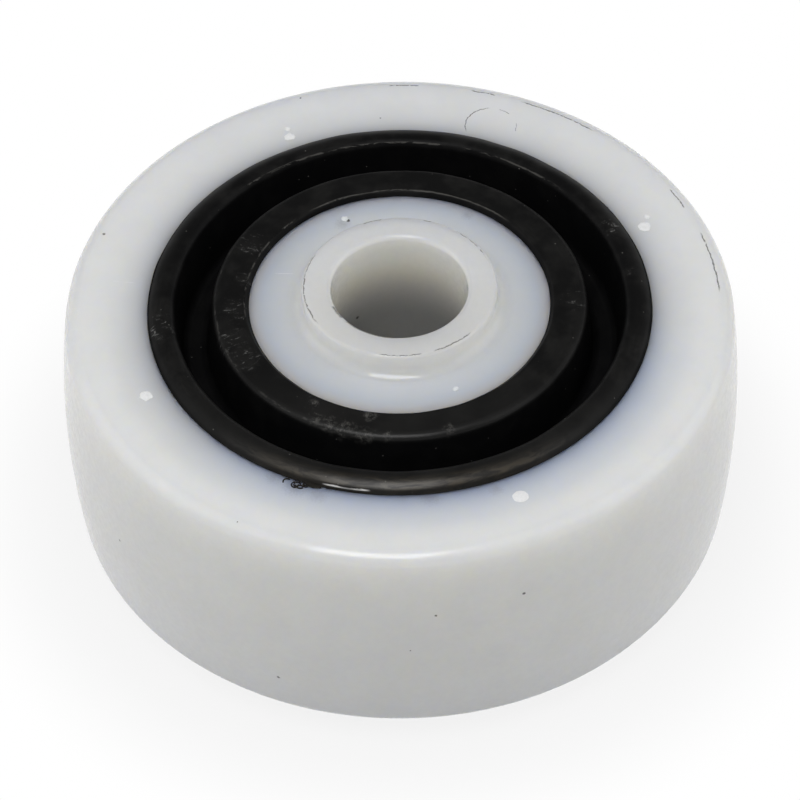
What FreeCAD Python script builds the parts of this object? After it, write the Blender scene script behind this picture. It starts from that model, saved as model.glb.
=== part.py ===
import FreeCAD, Part
import math
import os
import Sketcher

# Cushioned trolley wheel. A nylon tread ring and a nylon hub are moulded on to a grooved rubber ring,
# which takes the shocks between them. The three pieces stay together for life.
# The wheel lies on its side: the origin is its centre and +Z runs along the axle. Sizes are in mm.

SIZES = (
    ("wheel_diameter", 100.0, "over the middle of the tread"),
    ("tread_width", 36.4, "between the flat side faces of the tread ring"),
    ("crown_radius", 134.0, "gentle bulge of the tread across its width"),
    ("corner_radius", 2.1, "from the tread to a side face"),
    ("ring_outside", 73.8, "diameter where rubber meets tread ring"),
    ("ring_inside", 44.0, "diameter where rubber meets hub"),
    ("lip_proud", 1.4, "how far the rubber lips stand out past a side face of the tread ring"),
    ("shoulder_run", 1.9, "rounded shoulder between outer lip and tread ring"),
    ("slope_run", 0.6, "sloped edge between inner lip and hub"),
    ("groove_offset", 0.7, "from the middle of the rubber out to the middle of its flexing groove"),
    ("groove_mouth", 5.7, "width of the groove at the lips"),
    ("groove_floor", 3.4, "width of the groove at its floor"),
    ("groove_depth", 9.0, "below the lips"),
    ("groove_fillet", 1.2, "between a wall of the groove and its floor"),
    ("lip_fillet", 0.4, "between a wall of the groove and a lip"),
    ("key_width", 14.0, "foot of the nylon rib that locks into the rubber"),
    ("key_crest", 10.0, "flat top of that rib"),
    ("key_rise", 1.2, "how far that rib stands into the rubber"),
    ("disc_proud", 0.7, "how far the hub disc stands out past a side face of the tread ring"),
    ("hub_length", 44.7, "over the ends of the two bosses"),
    ("bore_diameter", 20.0, "plain bore that runs on the axle"),
    ("bore_lip", 0.7, "rounding at each mouth of the bore"),
    ("boss_diameter", 28.5, "boss around each mouth of the bore"),
    ("boss_edge", 0.4, "chamfer at the end of a boss"),
    ("boss_foot", 1.3, "fillet between boss and disc"),
    ("tread_gates", 4, "scars where the tread ring was filled"),
    ("tread_gate_inset", 3.3, "from the rubber to the middle of a scar"),
    ("tread_gate_diameter", 2.4, "one scar"),
    ("hub_gates", 2, "scars where the hub was filled"),
    ("hub_gate_inset", 2.8, "from the rubber to the middle of a scar"),
    ("hub_gate_diameter", 1.2, "one scar"),
    ("gate_rise", 0.2, "height of a scar"),
    ("gate_angle", 24.2, "degrees from +X to the first scar of the tread ring"),
    ("hub_gate_turn", 90, "degrees from there to the first scar of the hub"),
)

# The most of a wall that one easing of its edge may take
EASING_SHARE = 0.45
SHOULDER_SHARE = 0.65

# Edges of the wheel that follow from the sizes above
CROWN_CENTRE = "(Sizes.wheel_diameter / 2 - Sizes.crown_radius)"
CROWN_TO_CORNER = "(Sizes.crown_radius - Sizes.corner_radius)"
CORNER_HEIGHT = "(Sizes.tread_width / 2 - Sizes.corner_radius)"
CORNER_RUN = f"sqrt({CROWN_TO_CORNER} ^ 2 - {CORNER_HEIGHT} ^ 2)"
FACE_EDGE = f"{CROWN_CENTRE} + {CORNER_RUN}"
TREAD_EDGE = f"{CROWN_CENTRE} + Sizes.crown_radius * {CORNER_RUN} / {CROWN_TO_CORNER}"
TREAD_EDGE_HEIGHT = f"Sizes.crown_radius * {CORNER_HEIGHT} / {CROWN_TO_CORNER}"
TREAD_FACE = "Sizes.tread_width / 2"
LIP_HEIGHT = f"{TREAD_FACE} + Sizes.lip_proud"
FLOOR_HEIGHT = f"{LIP_HEIGHT} - Sizes.groove_depth"
DISC_FACE = f"{TREAD_FACE} + Sizes.disc_proud"
BOSS_END = "Sizes.hub_length / 2"
BOSS_HEIGHT = f"({BOSS_END} - ({DISC_FACE}))"
BOSS_FOOT = f"min(Sizes.boss_foot; {EASING_SHARE} * {BOSS_HEIGHT})"
BOSS_EDGE = f"min(Sizes.boss_edge; {EASING_SHARE} * {BOSS_HEIGHT})"
KEY_FOOT = "Sizes.key_width / 2"
KEY_TOP = "Sizes.key_crest / 2"
OUTER_WALL = "Sizes.ring_outside / 2"
OUTER_KEY = f"{OUTER_WALL} - Sizes.key_rise"
INNER_WALL = "Sizes.ring_inside / 2"
INNER_KEY = f"{INNER_WALL} + Sizes.key_rise"
GROOVE_MIDDLE = f"({OUTER_WALL} + {INNER_WALL}) / 2 + Sizes.groove_offset"
GROOVE_FILLET = f"min(Sizes.groove_fillet; {EASING_SHARE} * Sizes.groove_floor)"
OUTER_LIP = f"({OUTER_WALL} - ({GROOVE_MIDDLE}) - Sizes.groove_mouth / 2)"
SHOULDER_RUN = f"min(Sizes.shoulder_run; {SHOULDER_SHARE} * {OUTER_LIP})"
SHOULDER_BOW = f"({SHOULDER_RUN} ^ 2 + Sizes.lip_proud ^ 2) / (2 * Sizes.lip_proud)"

START, END, CENTRE = 1, 2, 3
HORIZONTAL_AXIS = -1
ORIGIN = (-1, 1)
MATCH = 1e-4

doc = FreeCAD.newDocument("trolley_wheel")


def fill_sheet():
    """The driving dimensions, one row each: name, value, what it measures."""
    sheet = doc.addObject("Spreadsheet::Sheet", "Sizes")
    for row, (alias, value, note) in enumerate(SIZES, 1):
        sheet.set(f"A{row}", alias)
        sheet.set(f"B{row}", str(value))
        sheet.set(f"C{row}", note)
        sheet.setAlias(f"B{row}", alias)
    doc.recompute()
    return sheet


sizes = fill_sheet()


def worked_out(expression):
    """The present value of an expression on the sheet."""
    return float(sizes.evalExpression(expression))


def new_body(label):
    body = doc.addObject("PartDesign::Body", label)
    body.Label = label
    return body


def origin_feature(body, role):
    return next(item for item in body.Origin.OriginFeatures if item.Role == role)


def new_sketch(body, name, plane):
    sketch = body.newObject("Sketcher::SketchObject", name)
    sketch.AttachmentSupport = [(origin_feature(body, plane), "")]
    sketch.MapMode = "FlatFace"
    return sketch


def bind(sketch, kind, *where, expression):
    """One dimension of a sketch, tied to the sheet."""
    index = sketch.addConstraint(Sketcher.Constraint(kind, *where, worked_out(expression)))
    sketch.setExpression(f"Constraints[{index}]", expression)


def add_side(sketch, start, end, bow):
    """One side of an outline that runs clockwise: its index, and the marks of its two ends.

    The side is a line, or an arc that bulges outwards where bow gives its radius.
    """
    if bow is None:
        return sketch.addGeometry(Part.LineSegment(start, end)), START, END
    radius = worked_out(bow)
    chord = end - start
    inwards = FreeCAD.Vector(chord.y, -chord.x, 0).normalize()
    centre = (start + end) / 2 + inwards * math.sqrt(radius ** 2 - chord.Length ** 2 / 4)
    angles = [math.atan2(point.y - centre.y, point.x - centre.x) for point in (end, start)]
    circle = Part.Circle(centre, FreeCAD.Vector(0, 0, 1), radius)
    return sketch.addGeometry(Part.ArcOfCircle(circle, *angles)), END, START


def close_outline(sketch, corners, bows):
    """Sides from corner to corner and back to the first, joined end to end."""
    sides = [
        add_side(sketch, corner, corners[(at + 1) % len(corners)], bows[at])
        for at, corner in enumerate(corners)
    ]
    for at, (index, _, end) in enumerate(sides):
        following, start, _ = sides[(at + 1) % len(sides)]
        sketch.addConstraint(Sketcher.Constraint("Coincident", index, end, following, start))
    return sides


def place_corner(sketch, side, corner):
    """Fix the start of a side at its radius and height."""
    index, start, _ = side
    radius, height = corner
    bind(sketch, "DistanceX", *ORIGIN, index, start, expression=radius)
    bind(sketch, "DistanceY", *ORIGIN, index, start, expression=height)


def corner_point(corner):
    return FreeCAD.Vector(*(worked_out(expression) for expression in corner), 0)


def mirrored_section(body, name, upper, bows, outer_bow=None):
    """A section that is the same above and below the middle plane of the wheel.

    upper holds the corners above that plane, from the inner wall to the outer wall, as pairs of a
    radius and a height. bows holds the radius of the arc, or None for a line, that follows each of
    them but the last. outer_bow is the same for the outer wall where it crosses that plane.
    """
    sketch = new_sketch(body, name, "XZ_Plane")
    above = [corner_point(corner) for corner in upper]
    below = [FreeCAD.Vector(point.x, -point.y, 0) for point in reversed(above)]
    inner_bow = None
    all_bows = [*bows, outer_bow, *reversed(bows), inner_bow]
    sides = close_outline(sketch, above + below, all_bows)
    count = len(upper)
    for at, corner in enumerate(upper):
        place_corner(sketch, sides[at], corner)
        index, start, _ = sides[at]
        mirror, mirror_start, _ = sides[2 * count - 1 - at]
        sketch.addConstraint(
            Sketcher.Constraint("Symmetric", index, start, mirror, mirror_start, HORIZONTAL_AXIS)
        )
    for (index, _, _), bow in zip(sides, all_bows):
        if bow is not None:
            bind(sketch, "Radius", index, expression=bow)
    return sketch


def turned(body, kind, name, sketch):
    """A full turn of a section about the axle: Revolution adds, Groove cuts."""
    feature = body.newObject(f"PartDesign::{kind}", name)
    feature.Profile = sketch
    feature.ReferenceAxis = (sketch, ["V_Axis"])
    feature.Angle = 360
    doc.recompute()
    return feature


def is_circle_at(edge, radius, height):
    curve = edge.Curve
    return (
        isinstance(curve, Part.Circle)
        and abs(curve.Radius - radius) < MATCH
        and abs(abs(curve.Center.z) - height) < MATCH
    )


def ease_edges(body, kind, name, circles, size):
    """Fillet or chamfer the edges at the given radii and heights, above and below the middle plane."""
    base = body.Tip
    wanted = [[worked_out(expression) for expression in circle] for circle in circles]
    names = [
        f"Edge{number}"
        for number, edge in enumerate(base.Shape.Edges, 1)
        if any(is_circle_at(edge, radius, height) for radius, height in wanted)
    ]
    if len(names) != 2 * len(circles):
        raise RuntimeError(f"{name}: {len(names)} edges found for {len(circles)} circles")
    easing = body.newObject(f"PartDesign::{kind}", name)
    easing.Base = (base, names)
    easing.setExpression({"Fillet": "Radius", "Chamfer": "Size"}[kind], size)
    doc.recompute()


def gate_scars(body, piece, reach, face, first_angle):
    """The low round scars that the injection points leave on the upper face of a piece."""
    sketch = new_sketch(body, f"{piece}_gate_outline", "XY_Plane")
    sketch.setExpression("AttachmentOffset.Base.z", face)
    centre = [f"({reach}) * {turn}(({first_angle}) * 1 deg)" for turn in ("cos", "sin")]
    diameter = f"Sizes.{piece}_gate_diameter"
    circle = Part.Circle(corner_point(centre), FreeCAD.Vector(0, 0, 1), worked_out(diameter) / 2)
    index = sketch.addGeometry(circle)
    bind(sketch, "Diameter", index, expression=diameter)
    bind(sketch, "DistanceX", *ORIGIN, index, CENTRE, expression=centre[0])
    bind(sketch, "DistanceY", *ORIGIN, index, CENTRE, expression=centre[1])
    scar = body.newObject("PartDesign::Pad", f"{piece}_gate_scar")
    scar.Profile = sketch
    scar.setExpression("Length", "Sizes.gate_rise")
    doc.recompute()
    scars = body.newObject("PartDesign::PolarPattern", f"{piece}_gate_scars")
    scars.Originals = [scar]
    scars.Axis = (origin_feature(body, "Z_Axis"), [""])
    scars.Angle = 360
    scars.setExpression("Occurrences", f"Sizes.{piece}_gates")
    body.Tip = scars
    doc.recompute()


def make_tread_ring():
    """White nylon rim: crowned tread, flat sides, and a rib inside that keys into the rubber."""
    body = new_body("tread_ring")
    section = mirrored_section(
        body,
        "tread_section",
        upper=(
            (OUTER_KEY, KEY_TOP),
            (OUTER_WALL, KEY_FOOT),
            (OUTER_WALL, TREAD_FACE),
            (FACE_EDGE, TREAD_FACE),
            (TREAD_EDGE, TREAD_EDGE_HEIGHT),
        ),
        bows=(None, None, None, "Sizes.corner_radius"),
        outer_bow="Sizes.crown_radius",
    )
    turned(body, "Revolution", "rim", section)
    gate_reach = f"{OUTER_WALL} + Sizes.tread_gate_inset"
    gate_scars(body, "tread", gate_reach, TREAD_FACE, "Sizes.gate_angle")
    return body


def make_cushion_ring():
    """Black rubber spring: two lips on each side with a deep flexing groove between them."""
    body = new_body("cushion_ring")
    section = mirrored_section(
        body,
        "cushion_section",
        upper=(
            (INNER_KEY, KEY_TOP),
            (INNER_WALL, KEY_FOOT),
            (INNER_WALL, DISC_FACE),
            (f"{INNER_WALL} + Sizes.slope_run", LIP_HEIGHT),
            (f"{OUTER_WALL} - {SHOULDER_RUN}", LIP_HEIGHT),
            (OUTER_WALL, TREAD_FACE),
            (OUTER_WALL, KEY_FOOT),
            (OUTER_KEY, KEY_TOP),
        ),
        bows=(None, None, None, None, SHOULDER_BOW, None, None),
    )
    turned(body, "Revolution", "cushion", section)

    groove_outline = [
        (f"{GROOVE_MIDDLE} {sign} Sizes.groove_{level} / 2", height)
        for sign, level, height in (
            ("-", "mouth", LIP_HEIGHT),
            ("-", "floor", FLOOR_HEIGHT),
            ("+", "floor", FLOOR_HEIGHT),
            ("+", "mouth", LIP_HEIGHT),
        )
    ]
    mouth_inside, floor_inside, floor_outside, mouth_outside = groove_outline
    sketch = new_sketch(body, "groove_section", "XZ_Plane")
    corners = [corner_point(corner) for corner in groove_outline]
    sides = close_outline(sketch, corners, [None] * len(corners))
    for side, corner in zip(sides, groove_outline):
        place_corner(sketch, side, corner)
    before = body.Tip.Shape.Volume
    groove = turned(body, "Groove", "upper_groove", sketch)
    grooves = body.newObject("PartDesign::Mirrored", "both_grooves")
    grooves.Originals = [groove]
    grooves.MirrorPlane = (origin_feature(body, "XY_Plane"), [""])
    body.Tip = grooves
    doc.recompute()
    if not grooves.Shape.Volume < groove.Shape.Volume < before:
        raise RuntimeError("a groove cut nothing")

    ease_edges(body, "Fillet", "groove_floors", [floor_inside, floor_outside], GROOVE_FILLET)
    ease_edges(body, "Fillet", "groove_lips", [mouth_inside, mouth_outside], "Sizes.lip_fillet")
    return body


def make_hub():
    """White nylon hub: a thick disc with a boss on each side and a plain bore right through."""
    body = new_body("hub")
    bore_wall = "Sizes.bore_diameter / 2"
    boss_wall = "Sizes.boss_diameter / 2"
    section = mirrored_section(
        body,
        "hub_section",
        upper=(
            (bore_wall, BOSS_END),
            (boss_wall, BOSS_END),
            (boss_wall, DISC_FACE),
            (INNER_WALL, DISC_FACE),
            (INNER_WALL, KEY_FOOT),
            (INNER_KEY, KEY_TOP),
        ),
        bows=(None, None, None, None, None),
    )
    turned(body, "Revolution", "hub_blank", section)
    ease_edges(body, "Fillet", "boss_feet", [(boss_wall, DISC_FACE)], BOSS_FOOT)
    ease_edges(body, "Chamfer", "boss_edges", [(boss_wall, BOSS_END)], BOSS_EDGE)
    ease_edges(body, "Fillet", "bore_lips", [(bore_wall, BOSS_END)], "Sizes.bore_lip")
    gate_reach = f"{INNER_WALL} - Sizes.hub_gate_inset"
    gate_scars(body, "hub", gate_reach, DISC_FACE, "Sizes.gate_angle + Sizes.hub_gate_turn")
    return body


def check_and_write(bodies):
    """Stop on any failed feature or broken solid, then write one file for each piece."""
    doc.recompute()
    for item in doc.Objects:
        if {"Invalid", "Error"} & set(item.State):
            raise RuntimeError(f"{item.Name} failed: {item.State}")
    for body in bodies:
        if body.Shape.isNull() or not body.Shape.isValid() or len(body.Shape.Solids) != 1:
            raise RuntimeError(f"{body.Label} is not one sound solid")
    os.makedirs("parts", exist_ok=True)
    for body in bodies:
        body.Shape.exportStep(f"parts/{body.Label}.step")
        print(body.Label, round(body.Shape.Volume / 1000, 2), "cm3")


check_and_write([make_tread_ring(), make_cushion_ring(), make_hub()])
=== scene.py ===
# %% [markdown]
# # A cushioned trolley wheel
# This lesson dresses a small assembly: a white nylon tread ring, a black rubber ring that takes the shocks,
# and a white nylon hub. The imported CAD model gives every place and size. Each piece gets a finer mesh with
# the same section, the marks that moulding and handling left on it, and a finish of its own.

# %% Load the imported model
import math

import bmesh
import bpy
from mathutils import Matrix, Vector, noise


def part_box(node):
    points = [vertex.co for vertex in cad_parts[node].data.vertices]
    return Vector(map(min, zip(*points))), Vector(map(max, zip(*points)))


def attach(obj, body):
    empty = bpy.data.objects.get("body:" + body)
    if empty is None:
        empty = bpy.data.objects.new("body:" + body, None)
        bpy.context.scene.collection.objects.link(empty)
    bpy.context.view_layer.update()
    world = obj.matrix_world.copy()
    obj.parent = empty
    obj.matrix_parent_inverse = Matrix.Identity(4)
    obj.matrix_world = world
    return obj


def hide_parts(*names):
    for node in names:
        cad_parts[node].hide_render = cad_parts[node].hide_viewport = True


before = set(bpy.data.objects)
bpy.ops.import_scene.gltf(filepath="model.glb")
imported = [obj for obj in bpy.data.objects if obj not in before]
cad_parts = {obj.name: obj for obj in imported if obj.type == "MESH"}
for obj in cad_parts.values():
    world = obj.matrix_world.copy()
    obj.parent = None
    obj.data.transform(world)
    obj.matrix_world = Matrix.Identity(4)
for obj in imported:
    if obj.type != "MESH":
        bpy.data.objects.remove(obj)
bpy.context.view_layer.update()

scene = bpy.context.scene
scene.view_settings.view_transform = "Standard"

# %% [markdown]
# ## Sizes
# The large sizes could be typed in again, but then they could drift away from the CAD model. They are read
# from the boxes of its three nodes instead. What a box can't tell, such as the groove or a fillet, is a
# named value in millimetres.

# %% Read the sizes from the frame
MM = 0.001
GATE_RISE = 0.2 * MM
KEY_RISE = 1.2 * MM
DISC_PROUD = 0.7 * MM
_, tread_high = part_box("tread_ring")
_, rubber_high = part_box("cushion_ring")
_, hub_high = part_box("hub")

WHEEL_RADIUS = tread_high.x
TREAD_FACE = tread_high.z - GATE_RISE
LIP_LEVEL = rubber_high.z
RUBBER_OUTSIDE = rubber_high.x
RUBBER_INSIDE = hub_high.x - KEY_RISE
DISC_FACE = TREAD_FACE + DISC_PROUD
BOSS_END = hub_high.z

print("wheel radius", round(WHEEL_RADIUS / MM, 2), "mm, boss end", round(BOSS_END / MM, 2), "mm")

# %% [markdown]
# ## Turning a section
# All three pieces are turned forms, so each starts as a closed outline of a few corners that is spun once
# round the axle. The wheel is the same on both sides, so only the corners above its middle plane are listed.
# After a full turn the last copy lies on the first, so doubles are merged before the faces are turned
# outwards.

# %% Spin an outline
STEPS = 240
FULL_TURN = 2 * math.pi
NEAR = 0.001 * MM


def both_sides(upper):
    """Corners above the middle plane of the wheel, followed by their mirror images below it."""
    return upper + [(radius, -height) for radius, height in reversed(upper)]


def spin_outline(corners, steps=STEPS, closed=True):
    """Turn an outline of (radius, height) corners once round the axle."""
    mesh = bmesh.new()
    points = [mesh.verts.new((radius, 0, height)) for radius, height in corners]
    sides = [mesh.edges.new((points[at - 1], point)) for at, point in enumerate(points) if at or closed]
    bmesh.ops.spin(
        mesh, geom=points + sides, cent=(0, 0, 0), axis=(0, 0, 1), dvec=(0, 0, 0),
        angle=FULL_TURN, steps=steps, use_merge=True, use_normal_flip=False, use_duplicate=False,
    )
    bmesh.ops.remove_doubles(mesh, verts=mesh.verts, dist=NEAR)
    bmesh.ops.recalc_face_normals(mesh, faces=mesh.faces)
    return mesh


facet_depth = WHEEL_RADIUS * (1 - math.cos(math.pi / STEPS))
print("a turn in", STEPS, "steps cuts", round(facet_depth / MM, 4), "mm off the widest circle")

# %% [markdown]
# ## Rounding the corners
# The outline could carry its roundings already, but it is easier to read with plain corners. After the spin
# each corner is a ring of edges, and one bevel rounds the whole ring. A ring is found by its radius and its
# height, and its mirror image on the other side of the wheel comes along.

# %% Round a ring of edges
def round_edges(mesh, edges, size, segments):
    bmesh.ops.bevel(
        mesh, geom=edges, offset=size, offset_type="OFFSET", affect="EDGES",
        segments=segments, profile=0.5, material=-1,
    )


def radius_of(vert):
    return math.hypot(vert.co.x, vert.co.y)


def round_ring(mesh, corner, size, segments):
    """Round the rings of edges that a corner has become, above and below the middle plane."""
    radius, height = corner
    on_ring = {
        vert for vert in mesh.verts
        if abs(radius_of(vert) - radius) < NEAR and abs(abs(vert.co.z) - height) < NEAR
    }
    ring = [
        edge for edge in mesh.edges
        if on_ring.issuperset(edge.verts) and edge.verts[0].co.z * edge.verts[1].co.z > 0
    ]
    round_edges(mesh, ring, size, segments)
    print("rounded", len(ring), "edges at radius", round(radius / MM, 2), "by", round(size / MM, 2), "mm")


# %% [markdown]
# ## From mesh to piece
# A bmesh is only a drawing board. It becomes an object with smooth shading that breaks at sharp edges, and a
# weighted normal modifier keeps flat faces flat beside their roundings. Then the piece rides on the wheel,
# and the CAD node that it stands for is hidden.

# %% Finish a piece
SHARP_ANGLE = math.radians(40)


def make_object(name, mesh):
    """Turn a bmesh into a smooth object in the scene."""
    for face in mesh.faces:
        face.smooth = True
    data = bpy.data.meshes.new(name)
    mesh.to_mesh(data)
    mesh.free()
    made = bpy.data.objects.new(name, data)
    scene.collection.objects.link(made)
    return made


def finished_piece(name, mesh, node=None):
    """Make an object of a mesh, let it ride on the wheel, and let it stand for a CAD node."""
    piece = make_object(name, mesh)
    piece.data.set_sharp_from_angle(angle=SHARP_ANGLE)
    even = piece.modifiers.new("even_shading", "WEIGHTED_NORMAL")
    even.keep_sharp = True
    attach(piece, "root")
    if node:
        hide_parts(node)
    print(name, len(piece.data.polygons), "faces, up to", round(max(piece.dimensions) / MM, 2), "mm")
    return piece


# %% [markdown]
# ## Tread ring
# The rim is one thick nylon moulding. Its tread bulges a little, so that the wheel steers easily, and large
# rounded corners keep it from chipping. The bulge is an arc, so its corners come from the formula of a
# circle. On the inside a low rib keys the nylon into the rubber.

# %% Model the tread ring
KEY_FOOT = 7.0 * MM
KEY_TOP = 5.0 * MM
CROWN_RADIUS = 134 * MM
CROWN_STEPS = 11
CORNER_SIZE = 1.83 * MM
SEAT_EASING = 0.08 * MM


def crown(height):
    """Radius of the bulging tread at a height."""
    return WHEEL_RADIUS - CROWN_RADIUS + math.sqrt(CROWN_RADIUS ** 2 - height ** 2)


crown_heights = [TREAD_FACE * (1 - 2 * step / CROWN_STEPS) for step in range(CROWN_STEPS // 2 + 1)]
rim_seat = (RUBBER_OUTSIDE, TREAD_FACE)
rim_corner = (crown(TREAD_FACE), TREAD_FACE)
tread_mesh = spin_outline(both_sides([
    (RUBBER_OUTSIDE - KEY_RISE, KEY_TOP),
    (RUBBER_OUTSIDE, KEY_FOOT),
    rim_seat,
    *((crown(height), height) for height in crown_heights),
]))
round_ring(tread_mesh, rim_corner, CORNER_SIZE, segments=8)
round_ring(tread_mesh, rim_seat, SEAT_EASING, segments=2)
tread = finished_piece("nylon_tread", tread_mesh, "tread_ring")

# %% [markdown]
# ## Hub
# The hub is a thick disc with a boss on each side and a plain bore. Its edges are eased by different amounts:
# wide where the boss meets the disc, round at the mouth of the bore, and crisp at the end of the boss.

# %% Model the hub
BORE_RADIUS = 10 * MM
BOSS_RADIUS = 14.25 * MM
BOSS_FOOT_SIZE = 1.9 * MM
BOSS_EDGE_SIZE = 0.45 * MM
BORE_MOUTH_SIZE = 0.8 * MM

bore_mouth = (BORE_RADIUS, BOSS_END)
boss_edge = (BOSS_RADIUS, BOSS_END)
boss_foot = (BOSS_RADIUS, DISC_FACE)
disc_edge = (RUBBER_INSIDE, DISC_FACE)
hub_mesh = spin_outline(both_sides([
    bore_mouth,
    boss_edge,
    boss_foot,
    disc_edge,
    (RUBBER_INSIDE, KEY_FOOT),
    (RUBBER_INSIDE + KEY_RISE, KEY_TOP),
]))
round_ring(hub_mesh, boss_foot, BOSS_FOOT_SIZE, segments=8)
round_ring(hub_mesh, boss_edge, BOSS_EDGE_SIZE, segments=4)
round_ring(hub_mesh, bore_mouth, BORE_MOUTH_SIZE, segments=6)
round_ring(hub_mesh, disc_edge, SEAT_EASING, segments=2)
hub = finished_piece("nylon_hub", hub_mesh, "hub")

# %% [markdown]
# ## Rubber ring
# The ring is soft, and a deep groove on each side lets it flex. The groove narrows towards its floor, the
# outer shoulder runs down on to the tread ring, and a short slope leads down to the hub.

# %% Turn the rubber ring
GROOVE_MIDDLE = 30.15 * MM
GROOVE_DEPTH = 9 * MM
MOUTH_HALF = 2.85 * MM
FLOOR_HALF = 1.7 * MM
SLOPE_RUN = 0.6 * MM
SHOULDER_RUN = 1.3 * MM
SHOULDER_FOOT = 0.3 * MM

inner_edge = (RUBBER_INSIDE + SLOPE_RUN, LIP_LEVEL)
inner_mouth = (GROOVE_MIDDLE - MOUTH_HALF, LIP_LEVEL)
inner_floor = (GROOVE_MIDDLE - FLOOR_HALF, LIP_LEVEL - GROOVE_DEPTH)
outer_floor = (GROOVE_MIDDLE + FLOOR_HALF, LIP_LEVEL - GROOVE_DEPTH)
outer_mouth = (GROOVE_MIDDLE + MOUTH_HALF, LIP_LEVEL)
shoulder_top = (RUBBER_OUTSIDE - SHOULDER_RUN, LIP_LEVEL)
shoulder_foot = (RUBBER_OUTSIDE - SHOULDER_FOOT / 2, TREAD_FACE + SHOULDER_FOOT)
rubber_mesh = spin_outline(both_sides([
    (RUBBER_INSIDE + KEY_RISE, KEY_TOP),
    (RUBBER_INSIDE, KEY_FOOT),
    (RUBBER_INSIDE, DISC_FACE),
    inner_edge,
    inner_mouth,
    inner_floor,
    outer_floor,
    outer_mouth,
    shoulder_top,
    shoulder_foot,
    (RUBBER_OUTSIDE, TREAD_FACE),
    (RUBBER_OUTSIDE, KEY_FOOT),
    (RUBBER_OUTSIDE - KEY_RISE, KEY_TOP),
]))
print("rubber section turned,", len(rubber_mesh.faces), "faces")

# %% [markdown]
# ## Worn edges on the rubber
# Every edge of the rubber has its own rounding. A perfect turned form would look machined, so a little noise
# then makes the edges uneven, as on rubber that came out of a worn mould. Vector noise starts from the clock
# unless it is given a seed, and with a seed every run makes the same ring. The hidden rib stays true, because
# it has to meet the nylon.

# %% Round the rubber and make it uneven
WOBBLE = 0.07 * MM
WOBBLE_SCALE = 210
WOBBLE_SEED = 5

for corner, size, segments in (
    (inner_floor, 1.05, 5),
    (outer_floor, 1.05, 5),
    (inner_mouth, 0.9, 6),
    (outer_mouth, 1.15, 7),
    (shoulder_top, 1.2, 8),
    (shoulder_foot, 0.28, 3),
    (inner_edge, 0.18, 3),
):
    round_ring(rubber_mesh, corner, size * MM, segments)
noise.seed_set(WOBBLE_SEED)
for vert in rubber_mesh.verts:
    if abs(vert.co.z) > KEY_FOOT + NEAR:
        vert.co += WOBBLE * noise.noise_vector(vert.co * WOBBLE_SCALE)
rubber = finished_piece("rubber_cushion", rubber_mesh, "cushion_ring")

# %% [markdown]
# ## Gate scars
# Molten nylon entered the mould at four points on the rim and two on the hub. Where the sprue was snapped
# off, a low white scar is left, and two of the scars on the rim have a crumb beside them. Each starts as a
# small ball that noise makes ragged. Some get a dimple before the ball is flattened and sunk into the face.

# %% Model the gate scars
SCAR_SINK = 0.06 * MM
RAGGED_SCALE = 2.2
DIMPLE_REACH = 0.62


def out_on_wheel(angle, reach, height):
    """The placing of a small thing at an angle in degrees, a distance from the axle and a height."""
    return Matrix.Rotation(math.radians(angle), 4, "Z") @ Matrix.Translation((reach, 0, height))


def gate_scar(name, angle, reach, face, length, width, ragged, dimple):
    """A low ragged bump on a face. length runs across the wheel's radius and width along it."""
    mesh = bmesh.new()
    bmesh.ops.create_icosphere(mesh, subdivisions=4, radius=1)
    own_spot = Vector((angle, reach / MM, 0))
    for vert in mesh.verts:
        flat = radius_of(vert)
        vert.co *= 1 + ragged * noise.noise(vert.co * RAGGED_SCALE + own_spot)
        vert.co.z *= 1 - dimple * max(0, 1 - (flat / DIMPLE_REACH) ** 2)
    bmesh.ops.scale(mesh, vec=(width / 2, length / 2, GATE_RISE + SCAR_SINK), verts=mesh.verts)
    bmesh.ops.transform(mesh, matrix=out_on_wheel(angle, reach, face - SCAR_SINK), verts=mesh.verts)
    for vert in mesh.verts:
        vert.co.z = min(vert.co.z, face + GATE_RISE)
    return finished_piece(name, mesh)


scars = [
    gate_scar(name, angle, reach * MM, face, length * MM, width * MM, ragged, dimple)
    for name, angle, reach, face, length, width, ragged, dimple in (
        ("tread_gate_right", 23.0, 39.7, TREAD_FACE, 1.95, 1.9, 0.16, 0.75),
        ("tread_gate_smear", 25.4, 41.0, TREAD_FACE, 0.9, 0.9, 0.35, 0.0),
        ("tread_gate_back", 114.5, 39.4, TREAD_FACE, 1.6, 1.5, 0.4, 0.4),
        ("tread_gate_back_tip", 113.9, 41.1, TREAD_FACE, 0.8, 0.9, 0.35, 0.0),
        ("tread_gate_left", 205.1, 40.4, TREAD_FACE, 1.9, 1.8, 0.3, 0.0),
        ("tread_gate_front", 293.8, 40.95, TREAD_FACE, 2.4, 2.2, 0.08, 0.0),
        ("hub_gate_back", 114.6, 19.2, DISC_FACE, 1.0, 1.1, 0.35, 0.0),
        ("hub_gate_front", 294.4, 19.1, DISC_FACE, 0.95, 0.9, 0.3, 0.0),
    )
]

# %% [markdown]
# ## Rubber flash
# A few thin curls of rubber squeezed out between the halves of the mould and stuck to the white face at the
# edge of the ring. A curl could be a curve with a bevel. Here it is a small circle of edges that is spun
# through part of a turn and capped, so that it is a closed mesh like every other piece.

# %% Model the curls of flash
STRAND_SIZE = 0.22 * MM
STRAND_SIDES = 8
STRAND_STEPS = 12
STRAND_LEVEL = TREAD_FACE + STRAND_SIZE / 3


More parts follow.
